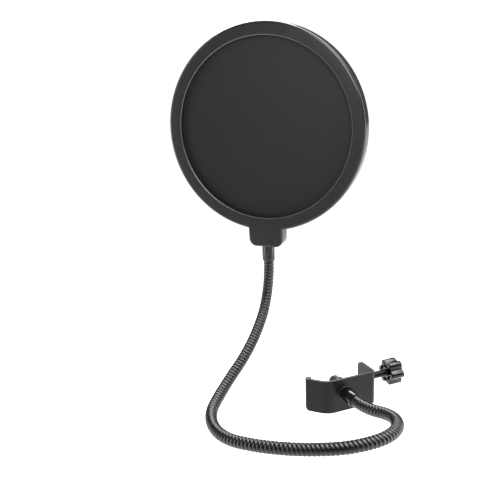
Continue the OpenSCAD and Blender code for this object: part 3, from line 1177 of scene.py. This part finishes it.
class PF_OT_knob(Operator):
    """Shape the six-lobed knob with its ribbed hollow underside"""

    bl_idname = "pop_filter.knob"
    bl_label = "Knob"

    def execute(self, context):
        radius = context.scene.pf_clamp.knob_radius
        near = 49.5 * MM
        length = 10.5 * MM
        deselect()
        bpy.ops.mesh.primitive_cylinder_add(vertices=120, radius=radius, depth=length, end_fill_type="NGON")
        piece = named("thumb_knob")
        mesh = editing()
        for vert in mesh.verts:
            angle = math.atan2(vert.co.y, vert.co.x)
            reach = lobed(angle, radius, 2.1 * MM)
            if vert.co.z < 0:
                reach *= 0.985
            vert.co.x = reach * math.cos(angle)
            vert.co.y = reach * math.sin(angle)
        bmesh.update_edit_mesh(piece.data)
        pick("EDGE", lambda e: abs(edge_along(e).z) < 0.5)
        bpy.ops.mesh.bevel(offset=0.9 * MM, segments=4, affect="EDGES")
        pick("FACE", lambda f: f.normal.z > 0.99 and f.calc_area() > 1e-5)
        bpy.ops.mesh.inset(thickness=1.4 * MM, depth=0)
        bpy.ops.mesh.inset(thickness=0.3 * MM, depth=-0.35 * MM)
        leave_edit()
        well = Vector((0, 0, -length / 2 - MM))
        pocket = turned("pocket", filleted([
            (0, 3.9 * MM, 0), (0, 6.1 * MM, 0), (7.5 * MM, 5.9 * MM, 0.5 * MM), (7.5 * MM, 4.1 * MM, 0.5 * MM),
        ], 3), well, UP, 72)
        for number in range(3):
            deselect()
            bpy.ops.mesh.primitive_cube_add(
                size=1, location=(0, 0, well.z + 4 * MM), scale=(20 * MM, 1 * MM, 12 * MM),
                rotation=(0, 0, math.radians(60 * number)),
            )
            cut(pocket, baked_in_place(named("rib_gap")))
        cut(piece, pocket)
        cut(piece, rod("screw_bore", well, UP, 2.55 * MM, length - 1.5 * MM, 40))
        piece.rotation_euler = SCREW_ALONG.to_track_quat("Z", "Y").to_euler()
        piece.location = clamp_point(near + length / 2, 0, HOLE_Z)
        baked_in_place(piece)
        smooth(paint(piece, "knob"), 38)
        finished(piece, "thumbscrew", "knob_plastic", "knob")
        return {"FINISHED"}


class PF_OT_pad(Operator):
    """Turn the pressure pad and its rubber facing"""

    bl_idname = "pop_filter.pad"
    bl_label = "Pressure pad"

    def execute(self, context):
        tip = 5.5 * MM
        facing = turned("pad_rubber_disc", filleted([
            (0, 0, 0), (0, 5.9 * MM, 0.4 * MM), (1.2 * MM, 5.9 * MM, 0), (1.2 * MM, 0, 0),
        ], 4), clamp_point(tip, 0, HOLE_Z), SCREW_ALONG, 64, closed=False)
        smooth(paint(facing, "rubber"), 35)
        finished(facing, "pad", "pad_rubber", "pad_facing")
        start = tip + 1.2 * MM
        cap = turned("pad_cap", filleted([
            (0, 0, 0), (0, 6.5 * MM, 0.5 * MM), (2.7 * MM, 6.5 * MM, 0.6 * MM),
            (3.2 * MM, 4.9 * MM, 0.4 * MM), (6.2 * MM, 4.4 * MM, 0.4 * MM),
            (6.2 * MM, 2.05 * MM, 0), (2.2 * MM, 2.05 * MM, 0), (2.2 * MM, 0, 0),
        ], 4), clamp_point(start, 0, HOLE_Z), SCREW_ALONG, 64, closed=False)
        smooth(paint(cap, "pad"), 35)
        finished(cap, "pad", "pad_plastic", "pressure_pad")
        return {"FINISHED"}


# ---------------------------------------------------------------- carried nodes, stage


CARRIED = {
    "ring_pins": "inner",
    "screen_spacer": "inner",
    "tab_insert": "brass",
    "top_stud": "zinc",
    "tooth_washer": "zinc",
    "pad_clip": "zinc",
}


class PF_OT_carried(Operator):
    """Give the small inner parts their finishes"""

    bl_idname = "pop_filter.carried"
    bl_label = "Inner parts"

    def execute(self, context):
        for node, key in CARRIED.items():
            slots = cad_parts[node].material_slots
            for slot in slots:
                slot.material = MATERIALS[key]
        return {"FINISHED"}


def soft_light(name, place, target, across, power):
    deselect()
    bpy.ops.object.light_add(type="AREA", location=place)
    light = bpy.context.object
    light.name = name
    light.data.shape = "RECTANGLE"
    light.data.size, light.data.size_y = across
    light.data.energy = power
    light.visible_camera = False
    light.rotation_euler = (Vector(target) - Vector(place)).to_track_quat("-Z", "Y").to_euler()


class PF_OT_stage(Operator):
    """Set up the floor, the soft lights and the camera"""

    bl_idname = "pop_filter.stage"
    bl_label = "Stage"

    def execute(self, context):
        deselect()
        bpy.ops.mesh.primitive_plane_add(size=14, location=(0, 0, -0.45))
        floor = named("pale_floor")
        pale = Finish("pale_floor_paint")
        grain = pale.noise(3.0, 2.0)
        pale.feed(Base_Color=pale.mixed(grain, (0.90, 0.90, 0.90), (0.93, 0.93, 0.93)), Roughness=0.9)
        floor.data.materials.append(pale.material)
        target = Vector((-0.05, 0.04, 0.12))
        for name, heading, climb, away, across, power in (
            ("softbox_left", -148, 6, 1.3, (0.5, 1.3), 10),
            ("softbox_right", 16, 6, 1.3, (0.5, 1.3), 15),
            ("softbox_top", 40, 72, 1.3, (1.2, 0.9), 18),
            ("softbox_behind", 120, 42, 1.3, (0.8, 1.0), 26),
        ):
            soft_light(name, target + direction(heading, climb) * away, target, across, power)
        fill = HEAD + Vector((0.09, -0.12, 0.10))
        soft_light("head_fill", fill, HEAD, (0.12, 0.12), 0.40)
        deselect()
        bpy.ops.object.light_add(type="SUN", location=(0, 0, 2))
        sun = bpy.context.object
        sun.name = "broad_sky_light"
        sun.data.energy = 3.8
        sun.data.angle = math.radians(60)
        sun.rotation_euler = direction(20, 65).to_track_quat("Z", "Y").to_euler()
        world = bpy.data.worlds.new("studio_air")
        world.use_nodes = True
        tree = world.node_tree
        seen = tree.nodes.new("ShaderNodeLightPath")
        air = tree.nodes["Background"]
        air.inputs[0].default_value = (1, 1, 1, 1)
        lift = tree.nodes.new("ShaderNodeMapRange")
        lift.inputs["To Min"].default_value = 0.12
        lift.inputs["To Max"].default_value = 1.1
        tree.links.new(seen.outputs["Is Camera Ray"], lift.inputs["Value"])
        tree.links.new(lift.outputs["Result"], air.inputs["Strength"])
        context.scene.world = world
        context.scene.view_settings.view_transform = "Standard"
        azimuth, pitch, roll = (math.radians(angle) for angle in (22.95, 14.94, 2.2))
        right = Vector((math.cos(azimuth), math.sin(azimuth), 0))
        ahead = direction(90 + math.degrees(azimuth), -math.degrees(pitch))
        above = right.cross(ahead)
        tilted_right = right * math.cos(roll) - above * math.sin(roll)
        tilted_above = above * math.cos(roll) + right * math.sin(roll)
        turn = Matrix((tilted_right, tilted_above, -ahead)).transposed()
        bpy.ops.object.camera_add(location=(0.1234, -0.437, 0.2312), rotation=turn.to_euler())
        camera = bpy.context.object
        camera.name = "studio_camera"
        camera.data.sensor_width = 36
        camera.data.lens = 52.5
        camera.data.clip_start = 0.01
        context.scene.camera = camera
        return {"FINISHED"}


class PF_PT_panel(Panel):
    """Lists the pieces of the pop filter"""

    bl_idname = "PF_PT_panel"
    bl_label = "Pop Filter"
    bl_space_type = "VIEW_3D"
    bl_region_type = "UI"
    bl_category = "Pop Filter"

    def draw(self, context):
        for operator in OPERATORS:
            self.layout.operator(operator.bl_idname)


OPERATORS = (
    PF_OT_front_shell, PF_OT_rear_shell, PF_OT_screens, PF_OT_tab_screws,
    PF_OT_winding, PF_OT_core, PF_OT_ferrules,
    PF_OT_strip, PF_OT_neck_bolt, PF_OT_thread, PF_OT_knob, PF_OT_pad,
    PF_OT_carried, PF_OT_stage,
)


def register():
    for cls in (*SIZES.values(), *OPERATORS, PF_PT_panel):
        bpy.utils.register_class(cls)
    for name, cls in SIZES.items():
        setattr(bpy.types.Scene, name, PointerProperty(type=cls))


def unregister():
    for name in SIZES:
        delattr(bpy.types.Scene, name)
    for cls in reversed((*SIZES.values(), *OPERATORS, PF_PT_panel)):
        bpy.utils.unregister_class(cls)


def main():
    register()
    make_materials()
    for operator in OPERATORS:
        group, name = operator.bl_idname.split(".")
        getattr(getattr(bpy.ops, group), name)()
    deselect()


if __name__ == "__main__":
    main()
